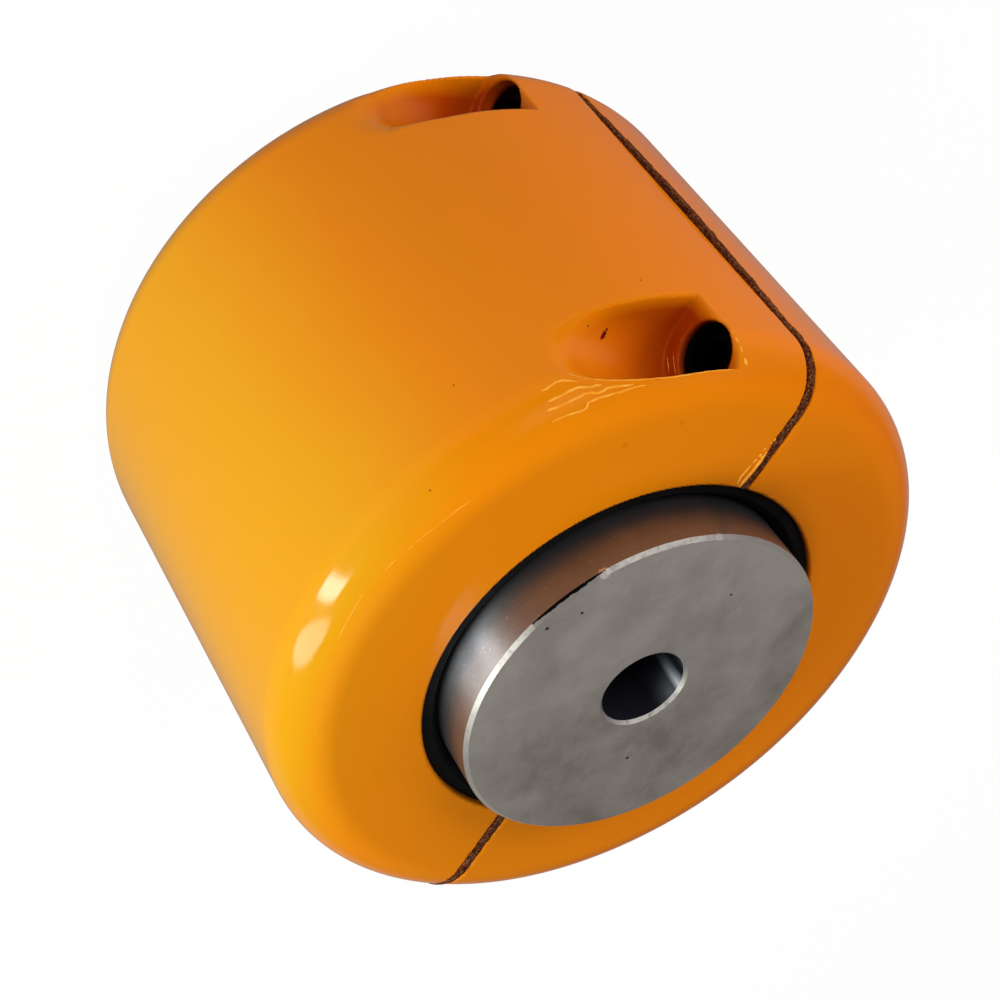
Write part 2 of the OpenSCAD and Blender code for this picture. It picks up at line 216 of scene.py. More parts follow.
def enamelMaterial():
    e, c = enamel, casting
    inputs = {"IOR": 1.5, "Specular IOR Level": e["specular"]}
    material, tree, shader, place = newMaterial("sprayedOrangeEnamel", inputs)
    # painted light: the coat is yellower towards the lit front and redder towards the shaded back, with a random
    # cloudy tone over it
    paintedLightCoat = vectors(tree, "DOT_PRODUCT", place, e["paintedLightWay"])
    paintedLightCoat = spread(tree, paintedLightCoat, e["paintedLightFrom"] * mm, e["paintedLightTo"] * mm)
    cloud = noise(tree, place, e["cloud"], 3, Roughness=0.55)
    paintedLightCoat = maths(tree, "MULTIPLY_ADD", cloud, e["cloudShare"], paintedLightCoat)
    paintedLightCoat = maths(tree, "SUBTRACT", paintedLightCoat, e["cloudShare"] / 2)
    colour = ramp(tree, paintedLightCoat, e["paintedLightCoat"])
    # painted light: the rounded corners are tinted a little cooler and the end faces yellower, by the way they face
    # the light
    facing = axes(tree, put(tree, "ShaderNodeTexCoord").outputs["Normal"])["Z"]
    facing = maths(tree, "ABSOLUTE", facing)
    colour = mixed(tree, ramp(tree, facing, e["onCorner"]), colour, e["cornerLightTint"], "MULTIPLY")
    colour = mixed(tree, spread(tree, facing, e["endFrom"], most=e["endShare"]), colour, e["endLightTint"])
    # the paint stops inside the screw holes: below their rims they are near black, bare greasy iron with the shade of
    # the deep holes painted on. The four pockets are alike, so places are folded into one quarter of the case; their
    # Y is then the height above the split
    mirrored = vectors(tree, "ABSOLUTE", vectors(tree, "SUBTRACT", place, (0, 0, c["middle"] * mm)))
    toScrew = vectors(tree, "SUBTRACT", mirrored, (c["screwX"] * mm, 0, c["screwZ"] * mm))
    toScrew = vectors(tree, "LENGTH", vectors(tree, "MULTIPLY", toScrew, (1, 0, 1)))
    hole = maths(tree, "LESS_THAN", toScrew, (c["counterbore"] + e["holeRim"]) * mm)
    away = axes(tree, mirrored)
    # the lower pockets were sprayed from above: more paint in their holes; their walls get more painted shade
    lower = maths(tree, "LESS_THAN", axes(tree, place)["Z"], c["middle"] * mm)
    depth = maths(tree, "MULTIPLY_ADD", lower, e["lowerPaint"] * mm, away["Y"])
    depth = spread(tree, depth, e["bareFrom"] * mm, e["bareTo"] * mm)
    bareAndShade = maths(tree, "MULTIPLY", depth, hole)
    # a pocket is what lies near a screw and below the casting's outline with its rounded corners
    inPocket = maths(tree, "LESS_THAN", toScrew, e["pocketReach"] * mm)
    radius = vectors(tree, "LENGTH", vectors(tree, "MULTIPLY", mirrored, (1, 1, 0)))
    section = put(tree, "ShaderNodeCombineXYZ", {"X": radius, "Y": away["Z"]}).outputs[0]
    centre = ((c["radius"] - c["corner"]) * mm, (c["half"] - c["corner"]) * mm, 0)
    section = vectors(tree, "MAXIMUM", vectors(tree, "SUBTRACT", section, centre), (0, 0, 0))
    fromCentre = vectors(tree, "LENGTH", section)
    sunk = spread(tree, fromCentre, (c["corner"] - e["sunkFrom"]) * mm, (c["corner"] - e["sunkTo"]) * mm)
    inside = maths(tree, "MULTIPLY", sunk, inPocket)
    # painted shade: the pocket walls are darker and redder the deeper they go, more so in the lower pockets
    low = spread(tree, away["Y"], e["pocketTop"] * mm, c["floor"] * mm)
    low = maths(tree, "MULTIPLY_ADD", lower, e["lowerShade"], low)
    colour = mixed(tree, inside, colour, ramp(tree, low, e["pocket"]))
    wobble = noise(tree, place, e["speckWobble"], 2)
    for where, size, kind in specks:
        colour = spot(tree, colour, place, where, size, wobble, e["speckRim"], e[kind])
    colour = mixed(tree, bareAndShade, colour, e["bareAndShade"])
    dull = spread(tree, inside, least=e["gloss"], most=e["pocketGloss"])
    dull = between(tree, bareAndShade, dull, e["bareDull"])
    ripple = bump(tree, noise(tree, place, e["ripple"], 1), *e["rippleBump"])
    peel = bump(tree, noise(tree, place, e["peel"], 2, Roughness=0.5), *e["peelBump"], Normal=ripple)
    feed(tree, shader, {"Base Color": colour, "Roughness": dull, "Normal": peel})
    return material


def highlightEnamelMaterial():
    # painted highlight: paler than the coat, standing in for the light that raised edges of cracked or lifted enamel
    # catch
    inputs = {"Roughness": 0.5, "Specular IOR Level": 0.2}
    material, tree, shader, place = newMaterial("enamelEdgeHighlight", inputs)
    patch = noise(tree, place, enamel["edgePatch"], 2)
    feed(tree, shader, {"Base Color": ramp(tree, patch, enamel["edge"])})
    return material


# Bare turned steel: grey, faint rings from the tool, stains and scratches, with painted highlights on the chamfers
# and painted shade on a stretch of one
turned = {
    "clouds": [(0.32, "#a7a09b"), (0.50, "#c3beb8"), (0.68, "#d6d2cc")], "cloud": 15,
    "faceDarkening": (-0.0032, -0.0020, 0),  # what is added to the face's lightness for each mm along X and Y: the face is darker towards +X and +Y
    "ring": 0.35, "ringBump": (0.05, 0.02), "dentBump": (0.06, 0.05), "grit": 0.8,
    "pits": [(0.20, 0.45), (0.27, 1.0)], "markRim": (1.7, 1.3),
    "scratches": [(0.9, 0.16), (-0.5, 0.12), (2.0, 0.10)],  # direction in radians and strength
    "scratch": "#f6f2ee", "scratchWidth": 0.55, "scratchDraw": 0.10, "scratchCut": (0.66, 0.74),
    "sideSheen": 0.5, "sideSheenTint": "#58668c", "dust": 0.45, "dusty": "#f2f2f4", "dustCut": (0.69, 0.75), "dustShare": 0.7,
    "cloudShine": (0.3, 0.7, 0.42, 0.30), "sideDull": 0.40, "boreShine": 0.2, "sideGrain": 0.74, "faceGrain": 0.3,
    "faceMetal": 0.64, "sideMetal": 0.965, "edgeMetal": 0.5, "glintMetal": 0.15,
    "radius": 30.0, "edgeWidth": 0.75, "boreReach": 7.9, "slant": (0.707, 0.2), "wallSlant": 0.3,
    # the chamfers' painted highlight and painted shade, the bore's tone and its painted glint
    "edge": "#fbf8f4", "grease": "#0b0b0d", "bore": "#8c92a4", "glint": "#e6edfb", "glintDepth": 11.0,
    "worn": (0.3, 0.5, 0.45), "greaseMiddle": -118, "greaseHalf": 12.5,
    "greaseFrom": 29.47, "greaseThins": 0.28, "greaseGrit": 1.2, "greaseEnds": 3.0,
    # share of shine or glint against the angle round the shaft in degrees
    "outerShine": [(-180, 0.1), (-167, 0.25), (-159, 0.8), (-137, 0.9), (-132, 0.5), (-104, 0.5), (-98, 0.9),
                   (-75, 0.7), (-55, 0.2), (180, 0.1)],
    "innerShine": [(-180, 0.0), (-60, 0.0), (-20, 0.35), (25, 1.0), (75, 0.7), (110, 0.4), (140, 0.0), (180, 0.0)],
    "boreGlint": [(-180, 0.0), (60, 0.0), (84, 0.25), (92, 0.15), (101, 1.0), (108, 0.6), (118, 0.0), (180, 0.0)],
}
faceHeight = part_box("upper_hub")[1].z

hubMarks = [  # x and y in mm on the upper hub's face, radius in mm, colour; the two white spots at the rim are painted highlights on small nicks
    (-8.1, -26.3, 0.30, "#3a332e"), (-11.8, -22.1, 0.26, "#3a332e"), (13.8, 7.0, 0.28, "#4a423c"),
    (-19.7, 3.1, 0.22, "#4a423c"), (-19.1, -22.9, 0.95, "#ffffff"), (-29.2, -7.0, 0.80, "#f4f1ec"),
]


def turnedSteelMaterial():
    t = turned
    material, tree, shader, place = newMaterial("turnedSteel", {"Anisotropic Rotation": 0.25})
    across = axes(tree, place)
    # one side of the face is darker than the other
    cloud = noise(tree, place, t["cloud"], 6, Roughness=0.62, Distortion=0.2)
    faceDarkening = vectors(tree, "DOT_PRODUCT", place, [share / mm for share in t["faceDarkening"]])
    colour = ramp(tree, maths(tree, "ADD", faceDarkening, cloud), t["clouds"])
    grit = noise(tree, place, t["grit"], 3)
    colour = mixed(tree, 1.0, colour, ramp(tree, grit, t["pits"]), "MULTIPLY")
    # fine scratches from handling: noise drawn out along three directions
    for turn, strength in t["scratches"]:
        drawn = {0: place, "Rotation": (0, 0, turn), "Scale": (t["scratchDraw"], 1, 1)}
        line = noise(tree, put(tree, "ShaderNodeMapping", drawn).outputs[0], t["scratchWidth"], 2)
        colour = mixed(tree, spread(tree, line, *t["scratchCut"], most=strength), colour, t["scratch"])
    # the side is painted darker and bluish as a painted cool sheen, and is dusty; the nicks and the dirt on the face
    # are single spots
    upward = maths(tree, "ABSOLUTE", axes(tree, put(tree, "ShaderNodeTexCoord").outputs["Normal"])["Z"])
    sideSheenShare = spread(tree, upward, least=t["sideSheen"], most=0.0)
    colour = mixed(tree, sideSheenShare, colour, t["sideSheenTint"])
    dust = spread(tree, noise(tree, place, t["dust"], 1), *t["dustCut"], most=t["dustShare"])
    dust = maths(tree, "MULTIPLY", dust, sideSheenShare)
    for x, y, size, paint in hubMarks:
        colour = spot(tree, colour, place, (x * mm, y * mm, faceHeight), size, grit, t["markRim"], paint)
    # painted highlight: the chamfers are painted near white where they shine, by the angle round the shaft; a stretch
    # of the outer one is painted black as shade, and the bore is bluish grey
    radius = vectors(tree, "LENGTH", vectors(tree, "MULTIPLY", place, (1, 1, 0)))
    outer = maths(tree, "GREATER_THAN", radius, (t["radius"] - t["edgeWidth"]) * mm)
    inner = maths(tree, "LESS_THAN", radius, t["boreReach"] * mm)
    slanted = maths(tree, "COMPARE", upward, *t["slant"])
    bevel = maths(tree, "MULTIPLY", maths(tree, "ADD", outer, inner), slanted)
    angle = maths(tree, "ARCTAN2", across["Y"], across["X"])
    turnShare = spread(tree, angle, -math.pi, math.pi)

    def roundShaft(shares):
        return ramp(tree, turnShare, [((degrees + 180) / 360, share) for degrees, share in t[shares]])

    shines = mixed(tree, inner, roundShaft("outerShine"), roundShaft("innerShine"))
    edge = maths(tree, "MULTIPLY", bevel, shines)
    edge = maths(tree, "MULTIPLY", edge, spread(tree, grit, *t["worn"]))
    middle, half = math.radians(t["greaseMiddle"]), math.radians(t["greaseHalf"])
    stretch = maths(tree, "COMPARE", angle, middle, half)
    edge = maths(tree, "MULTIPLY", edge, maths(tree, "SUBTRACT", 1.0, stretch))
    # the painted shade thins out towards the ends of its stretch
    toEnd = maths(tree, "MULTIPLY", maths(tree, "SUBTRACT", angle, middle), 1 / half)
    toEnd = maths(tree, "POWER", maths(tree, "ABSOLUTE", toEnd), t["greaseEnds"])
    toEnd = maths(tree, "MULTIPLY_ADD", grit, t["greaseGrit"], toEnd)
    limit = maths(tree, "MULTIPLY_ADD", toEnd, t["greaseThins"] * mm, t["greaseFrom"] * mm)
    greased = maths(tree, "MULTIPLY", bevel, stretch)
    greased = maths(tree, "MULTIPLY", greased, maths(tree, "GREATER_THAN", radius, limit))
    inBore = maths(tree, "MULTIPLY", inner, maths(tree, "LESS_THAN", upward, t["wallSlant"]))
    # the window's light runs a little way down the far side of the bore
    down = spread(tree, across["Z"], faceHeight - t["glintDepth"] * mm, faceHeight)
    glint = maths(tree, "MULTIPLY", roundShaft("boreGlint"), down)
    glint = maths(tree, "MULTIPLY", glint, inBore)
    for share, paint in ((edge, "edge"), (greased, "grease"), (inBore, "bore"), (glint, "glint"), (dust, "dusty")):
        colour = mixed(tree, share, colour, t[paint])
    metal = spread(tree, upward, least=t["sideMetal"], most=t["faceMetal"])
    metal = between(tree, edge, metal, t["edgeMetal"])
    metal = between(tree, glint, metal, t["glintMetal"])
    # rings round the shaft, one every ring mm, from the distance to the axis and the height
    way = maths(tree, "ADD", radius, across["Z"])
    way = maths(tree, "MULTIPLY", way, 2 * math.pi / (t["ring"] * mm))
    rings = bump(tree, maths(tree, "SINE", way), *t["ringBump"])
    dents = bump(tree, grit, *t["dentBump"], Normal=rings)
    dull = spread(tree, cloud, *t["cloudShine"])
    dull = between(tree, upward, t["sideDull"], dull)
    dull = between(tree, inBore, dull, t["boreShine"])
    # the grooves run round the shaft, so highlights stretch along the hub's side
    grain = spread(tree, upward, least=t["sideGrain"], most=t["faceGrain"])
    grooves = put(tree, "ShaderNodeTangent", direction_type="RADIAL", axis="Z").outputs[0]
    feed(tree, shader, {"Base Color": colour, "Metallic": metal, "Normal": dents, "Roughness": dull,
                        "Anisotropic": grain, "Tangent": grooves})
    return material


# Moulded nitrile rubber: nearly black, dull, with a fine bloom
rubber = {"tones": [(0.35, "#0a0a0a"), (0.75, "#151515")], "bloom": 6, "grain": 0.6, "grainBump": (0.25, 0.05)}


def nitrileMaterial():
    inputs = {"Roughness": 0.62, "IOR": 1.52, "Specular IOR Level": 0.25}
    material, tree, shader, place = newMaterial("mouldedNitrile", inputs)
    tone = ramp(tree, noise(tree, place, rubber["bloom"], 4), rubber["tones"])
    grain = noise(tree, place, rubber["grain"], 3)
    feed(tree, shader, {"Base Color": tone, "Normal": bump(tree, grain, *rubber["grainBump"])})
    return material


# Cork and rubber gasket sheet: brown crumbs in a dark binder, torn at its cut edge
sheet = {"tones": [(0.15, "#3a1606"), (0.6, "#5e2c0f"), (0.97, "#8c5a34")], "crumb": 0.28, "crumbBump": (0.7, 0.2)}


def gasketMaterial():
    material, tree, shader, place = newMaterial("corkGasketSheet", {"Roughness": 0.9, "IOR": 1.45})
    crumbs = put(tree, "ShaderNodeTexVoronoi", {"Vector": place, "Scale": perMm(sheet["crumb"])}).outputs
    tone = put(tree, "ShaderNodeSeparateColor", {0: crumbs["Color"]}).outputs[0]
    feed(tree, shader, {"Base Color": ramp(tree, tone, sheet["tones"]),
                        "Normal": bump(tree, crumbs["Distance"], *sheet["crumbBump"])})
    return material


# Steel with a treated or greased skin: black oxide on the screws, and the chain's plates, rollers and clip
skin = {"tones": (0.32, 0.68), "uneven": 0.08, "unevenFrom": 0.3, "unevenTo": 0.7, "skinBump": (0.15, 0.04)}


def skinnedSteelMaterial(name, low, high, roughness, grain):
    material, tree, shader, place = newMaterial(name, {"Metallic": 1.0, "Roughness": roughness})
    tone = noise(tree, place, grain, 4, Roughness=0.6)
    rough = spread(tree, tone, skin["unevenFrom"], skin["unevenTo"], roughness + skin["uneven"],
                   roughness - skin["uneven"])
    feed(tree, shader, {"Base Color": ramp(tree, tone, list(zip(skin["tones"], (low, high)))),
                        "Roughness": rough, "Normal": bump(tree, tone, *skin["skinBump"])})
    return material


finishes = {  # the last four: dark and light tone, roughness, size of the grain in mm
    "enamelled_casting": enamelMaterial(),
    "turned_steel": turnedSteelMaterial(),
    "seal_rubber": nitrileMaterial(),
    "gasket_sheet": gasketMaterial(),
    "blackened_steel": skinnedSteelMaterial("blackOxideSteel", "#08080a", "#131316", 0.55, 1.5),
    "chain_steel": skinnedSteelMaterial("greasedLinkPlate", "#55524d", "#7a756d", 0.38, 2.5),
    "roller_steel": skinnedSteelMaterial("tumbledRollerSteel", "#8a867f", "#b3aea6", 0.26, 2.0),
    "spring_steel": skinnedSteelMaterial("bluedSpringSteel", "#24262c", "#3d4048", 0.32, 2.0),
}
for part in frame["record"]["subparts"]:
    slots = nodes[part["node"]].data.materials
    for i in range(len(slots)):
        slots[i] = finishes[part["material_slot"]]
print("materials on", len(nodes), "nodes")


# Case halves: the CAD half, remeshed and drawn onto a form with thick paint over its rims
def smoothMax(a, b, width):
    # the larger of two distances, rounded where they meet
    h = np.clip(width - np.abs(a - b), 0, None) / width
    return np.maximum(a, b) + h * h * width / 4


def raggedLine(a, b):
    # uneven edge of the paint along the split, in mm: waves of a height, their run along a and b, and a start
    return sum(high * np.sin(runA * a + runB * b + start) for high, runA, runB, start in casting["waves"])


def outline(p):
    # distance in mm to the plain casting's outside with its rounded corners
    c = casting
    out, up = np.hypot(p[:, 0], p[:, 1]) - c["radius"] + c["corner"], np.abs(p[:, 2]) - c["half"] + c["corner"]
    return np.minimum(np.maximum(out, up), 0) + np.hypot(np.maximum(out, 0), np.maximum(up, 0)) - c["corner"]


def pocketForm(x, y, z):
    # distance in mm to the upper pocket: round towards the shaft, straight out of the barrel
    c = casting
    wall = np.hypot(np.minimum(x - c["pocketX"], 0), z - c["pocketZ"]) - c["pocketRadius"]
    return smoothMax(wall, c["floor"] - y, c["floorPaint"])


def paintedForm(p, front):
    # distance in mm to the painted outside of the +Y half; z counts from the middle of the case
    c = casting
    x, y, z = p[:, 0], p[:, 1], p[:, 2]
    band = outline(p)
    form = smoothMax(band, c["opening"] - np.hypot(x, y), c["edgePaint"])
    runOut = np.clip((c["softFrom"] - x) / c["softOver"], 0, 1) ** 2
    for end in (-1, 1):
        rim = c["rimPaint"] + (c["softRim"][end if front else 1] - c["rimPaint"]) * runOut
        form = smoothMax(form, -pocketForm(x, y, z * end), rim)
        bore = np.maximum(np.hypot(x - c["screwX"], z - end * c["screwZ"]) - c["counterbore"], c["seat"] - y)
        form = smoothMax(form, -bore, c["edgePaint"])
    gap = c["split"] + c["splitPaint"] - y + c["ragged"] * raggedLine(x, z) * (np.abs(band) < c["raggedReach"])
    if front:  # a flap of paint hangs over the gasket on the upper face
        flap = c["flap"] * np.clip(1 - ((x - c["flapX"]) / c["flapReach"]) ** 2, 0, 1)
        gap = gap - flap * (z > c["half"] - c["flapDown"])
    return smoothMax(form, gap, c["edgePaint"])


def slope(form, p):
    # how form grows at the points p along each axis
    found = np.empty_like(p)
    for axis in range(3):
        move = np.zeros(3)
        move[axis] = casting["step"]
        found[:, axis] = (form(p + move) - form(p - move)) / (2 * casting["step"])
    return found


def towards(form, p):
    # the points p moved along form's slope to where form should be nought
    s = slope(form, p)
    return p - s * (form(p) / np.maximum((s * s).sum(1), casting["flattest"]))[:, None]


def settled(points, front):
    for turn in range(casting["rounds"]):
        points = towards(lambda p: paintedForm(p, front), points)
    return points


def besideRidge(p):
    # how far p lies from a pocket's rim, across it, in mm
    return outline(p) + pocketForm(p[:, 0], p[:, 1], np.abs(p[:, 2]))


def onRidge(points, front):
    # points beside a pocket's rim move onto its ridge, so that the rim runs clean
    snap = casting["snap"]
    near = (np.abs(besideRidge(points)) < snap) & (np.abs(outline(points)) < 2 * snap)
    p = points[near]
    for turn in range(casting["ridgeRounds"]):
        p = settled(towards(besideRidge, p), front)
    points[near] = p
    return points


def drawnOnForm(p, front):
    # moves the outside's points onto the form; the chain space and the screw holes stay as they are
    c = casting
    hole = np.hypot(np.abs(p[:, 0]) - c["screwX"], np.abs(p[:, 2]) - c["screwZ"])
    reach = np.where((hole < c["aroundScrew"]) & (p[:, 1] > c["floor"]), c["rimReach"], c["reach"])
    outside = np.abs(paintedForm(p, front)) < reach
    outside &= (hole > c["tapped"]) | (p[:, 1] > c["seat"] + c["seatReach"])
    moved = p.copy()
    moved[outside] = onRidge(settled(p[outside], front), front)
    return moved, outside


def meshPoints(mesh):
    co = np.empty(len(mesh.vertices) * 3, np.float32)
    mesh.vertices.foreach_get("co", co)
    return co.reshape(-1, 3).astype(float)


def setPoints(mesh, points):
    mesh.vertices.foreach_set("co", points.astype(np.float32).ravel())
    mesh.update()


def newObject(name, data):
    made = bpy.data.objects.new(name, data)
    bpy.context.scene.collection.objects.link(made)
    return made


def mergedCopy(node, name, weld=0.002):
    # a copy of the CAD node with points closer than weld mm made one
    mesh = nodes[node].data.copy()
    mesh.name = name
    made = bmesh.new()
    made.from_mesh(mesh)
    bmesh.ops.remove_doubles(made, verts=made.verts, dist=weld * mm)
    made.to_mesh(mesh)
    made.free()
    for layer in list(mesh.uv_layers):
        mesh.uv_layers.remove(layer)
    return newObject(name, mesh)


def baked(piece):
    # the piece's modifiers become its mesh
    made = bpy.data.meshes.new_from_object(piece.evaluated_get(bpy.context.evaluated_depsgraph_get()))
    piece.modifiers.clear()
    piece.data = made
    return piece


def remeshed(piece, voxel):
    cells = piece.modifiers.new("cells", "REMESH")
    cells.mode, cells.voxel_size = "VOXEL", voxel * 1 * mm
    return baked(piece)


def geometryTree(name, **inputs):
    # a tree with a geometry input and output; each other input is a kind of socket and a value
    tree = bpy.data.node_groups.new(name, "GeometryNodeTree")
    tree.interface.new_socket("Geometry", in_out="INPUT", socket_type="NodeSocketGeometry")
    for label, (kind, value) in inputs.items():
        socket = tree.interface.new_socket(label, in_out="INPUT", socket_type="NodeSocket" + kind)
        if value is not None:
            socket.default_value = value
    tree.interface.new_socket("Geometry", in_out="OUTPUT", socket_type="NodeSocketGeometry")
    return tree, tree.nodes.new("NodeGroupInput").outputs


def finishTree(tree, made, material):
    # the tree's last steps: real geometry, smooth shading and the material
    real = put(tree, "GeometryNodeRealizeInstances", {"Geometry": made}).outputs[0]
    smooth = put(tree, "GeometryNodeSetShadeSmooth", {"Geometry": real}).outputs[0]
    painted = put(tree, "GeometryNodeSetMaterial", {"Geometry": smooth, "Material": material}).outputs[0]
    put(tree, "NodeGroupOutput", {0: painted})


def seededNoise(tree, given, scale):
    # noise over the piece's own points, whose scale and seed are inputs of the tree
    place = put(tree, "GeometryNodeInputPosition").outputs[0]
    inputs = {"Vector": place, "W": given["Seed"], "Scale": given[scale], "Detail": 2.0}
    return put(tree, "ShaderNodeTexNoise", inputs, noise_dimensions="4D").outputs


def grown(piece, tree, **values):
    # runs the tree on the piece with these inputs and keeps the result as its mesh
    modifier = piece.modifiers.new(tree.name, "NODES")
    modifier.node_group = tree
    for item in tree.interface.items_tree:
        if item.in_out == "INPUT" and item.name in values:
            modifier[item.identifier] = values[item.name]
    return baked(piece)


def paintedHalf(name, front):
    # both are drawn as the rear half; the front one is turned round at the end
    half = remeshed(mergedCopy("rear_case_half", name), casting["voxel"])
    shift = np.array([0, 0, casting["middle"]])

    def draw():
        points, outside = drawnOnForm(meshPoints(half.data) / mm - shift, front)
        setPoints(half.data, (points + shift) * mm)
        return points, outside

    points, outside = draw()
    count = sum(len(p.vertices) - 2 for p in half.data.polygons)
    if count > casting["triangles"]:
        half.modifiers.new("thin", "DECIMATE").ratio = casting["triangles"] / count
        baked(half)
        points, outside = draw()
    half.data.polygons.foreach_set("use_smooth", [True] * len(half.data.polygons))
    normals = np.array([v.normal for v in half.data.vertices])
    exact = slope(lambda p: paintedForm(p, front), points[outside])
    normals[outside] = exact / np.linalg.norm(exact, axis=1)[:, None]
    if front:
        half.data.transform(Matrix.Rotation(math.pi, 4, "Z"))
        normals[:, :2] *= -1
    half.data.normals_split_custom_set_from_vertices(normals.tolist())
    half.data.materials.clear()
    half.data.materials.append(finishes["enamelled_casting"])
    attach(half, "case")
    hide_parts("front_case_half" if front else "rear_case_half")


paintedHalf("rear_case_enamel", False)
paintedHalf("front_case_enamel", True)
print("case halves painted")


# Cracks, lifted edges, flecks and scratches in the enamel of the front half, pale as painted highlight: width and
# points in mm, on the unpainted case
flaws = {
    "spacing": 0.15, "wander": 0.14, "bend": 0.8, "sink": 0.12, "sides": 8, "seed": 3.0, "endWidth": 0.45,
    "rim": 0.22, "rimTurn": (-70, 0, 12), "rimRun": (0.4, 3.0, 6),  # from, to and number of points
    "cracks": [
        (0.36, [(-37.5, -40.5, 86.3), (-38.2, -39.8, 86.3), (-38.8, -39.4, 86.1), (-39.3, -38.9, 86.0),
                (-40.0, -38.1, 86.2), (-40.4, -37.5, 86.6), (-40.9, -36.6, 87.2)]),
        (0.42, [(-37.1, -40.0, 88.0), (-37.5, -39.6, 88.0), (-38.3, -38.8, 88.0), (-38.8, -38.3, 88.0),
                (-39.3, -37.8, 87.9), (-40.1, -37.0, 87.9), (-40.5, -36.5, 88.0), (-40.8, -36.0, 88.2),
                (-41.3, -35.1, 88.5), (-41.7, -34.6, 88.5), (-42.1, -33.9, 88.7)]),
        (0.42, [(-36.2, -40.0, 88.9), (-36.7, -39.5, 88.9), (-37.4, -38.7, 89.0), (-38.1, -38.0, 89.0),
                (-38.8, -37.3, 89.0), (-39.6, -36.5, 89.0), (-40.2, -35.9, 88.9), (-40.7, -35.2, 89.1),
                (-41.1, -34.3, 89.4), (-41.6, -33.7, 89.4), (-42.1, -33.3, 89.3), (-42.5, -32.6, 89.3),
                (-43.0, -31.7, 89.5), (-43.4, -31.0, 89.7), (-44.0, -29.9, 89.8)]),
        (0.32, [(-35.4, -39.3, 90.1), (-36.2, -38.5, 90.1), (-37.0, -37.7, 90.2), (-37.7, -36.8, 90.3),
                (-38.5, -35.8, 90.4), (-39.0, -35.4, 90.3), (-39.5, -35.4, 89.9), (-40.0, -34.9, 89.9),
                (-40.7, -34.1, 89.9), (-41.3, -33.2, 90.0), (-41.9, -32.4, 90.0), (-42.5, -31.5, 90.1),
                (-43.1, -30.6, 90.1), (-43.8, -29.7, 90.1), (-44.6, -28.2, 90.2)]),
    ],
    "lifted": [
        (0.60, [(-33.6, -1.2, 92.35), (-34.9, -1.2, 92.35), (-36.8, -1.0, 92.35), (-38.8, -0.9, 92.35),
                (-40.5, -0.9, 92.35)]),
        (0.42, [(-33.9, -2.0, 92.35), (-35.4, -2.4, 92.35), (-36.6, -2.2, 92.35), (-37.7, -2.1, 92.35)]),
        (0.80, [(-38.2, -2.0, 92.35), (-38.9, -1.8, 92.35)]), (0.90, [(-39.4, -1.8, 92.35), (-39.9, -1.7, 92.35)]),
        (0.85, [(-40.6, -1.7, 92.35), (-41.1, -1.7, 92.35)]), (0.80, [(-41.9, -1.4, 92.35), (-42.3, -1.4, 92.35)]),
        (0.70, [(-39.3, -1.3, 92.35), (-39.7, -1.2, 92.35)]), (0.85, [(-42.6, -1.0, 92.35), (-42.9, -1.1, 92.35)]),
        (0.55, [(-53.9, -13.9, 84.5), (-53.6, -14.0, 85.3)]), (0.70, [(-53.4, -13.9, 86.1), (-53.2, -13.8, 86.8)]),
        (0.75, [(-53.0, -13.6, 87.4), (-52.6, -13.5, 88.2)]),
        (0.70, [(-52.2, -13.2, 88.9), (-51.8, -13.1, 89.5), (-51.6, -12.9, 89.8)]),
        (0.16, [(-43.8, -14.3, 77.5), (-42.9, -14.3, 78.9), (-42.1, -14.3, 80.0)]),
        (0.16, [(-44.9, -14.3, 78.1), (-43.7, -14.3, 79.7), (-42.9, -14.3, 81.1)]),
    ],
    "scratches": [
        (0.15, [(5.9, -51.2, 91.1), (2.6, -51.5, 91.0), (0.2, -51.7, 91.0), (-3.1, -51.9, 90.9)]),
        (0.12, [(-3.1, -51.9, 90.9), (-8.6, -50.7, 91.2), (-14.3, -48.8, 91.5), (-19.9, -46.3, 91.7),
                (-25.4, -42.9, 91.9)]),
    ],
}


def pocketRim():
    # the upper pocket's rim towards the end of the case, in mm, where a pale thread is laid as painted highlight
    c = casting
    reach, rim = c["pocketRadius"], []
    places = [(c["pocketX"] + reach * math.sin(turn), c["pocketZ"] + reach * math.cos(turn))
              for turn in np.radians(np.linspace(*flaws["rimTurn"]))]
    places += [(c["pocketX"] + run, c["pocketZ"] + reach) for run in np.linspace(*flaws["rimRun"])]
    for x, z in places:
        above = max(z - c["half"] + c["corner"], 0)
        far = c["radius"] - c["corner"] + math.sqrt(c["corner"] ** 2 - above ** 2)
        rim.append((-x, -math.sqrt(far ** 2 - x ** 2), z + c["middle"]))
    return rim


def onPaint(points, sink):
    # places on the front half's unpainted case moved onto its paint, then sunk into it
    turn, shift = np.array([-1, -1, 1]), np.array([0, 0, casting["middle"]])
    ground = settled((np.array(points) - shift) * turn, True)
    normal = slope(lambda p: paintedForm(p, True), ground)
    normal /= np.linalg.norm(normal, axis=1)[:, None]
    return (ground - sink * normal) * turn + shift


def lineObject(name, lines):
    # one mesh of open lines; each line is a width in mm and its points in mm, and it thins towards its ends
    corners, edges, widths = [], [], []
    for width, points in lines:
        for i, place in enumerate(points):
            if i:
                edges.append((len(corners) - 1, len(corners)))
            corners.append([value * mm for value in place])
            widths.append(width * mm * (flaws["endWidth"] if i in (0, len(points) - 1) else 1.0))
    mesh = bpy.data.meshes.new(name)
    mesh.from_pydata(corners, edges, [])
    mesh.attributes.new("wide", "FLOAT", "POINT").data.foreach_set("value", widths)
    return newObject(name, mesh)


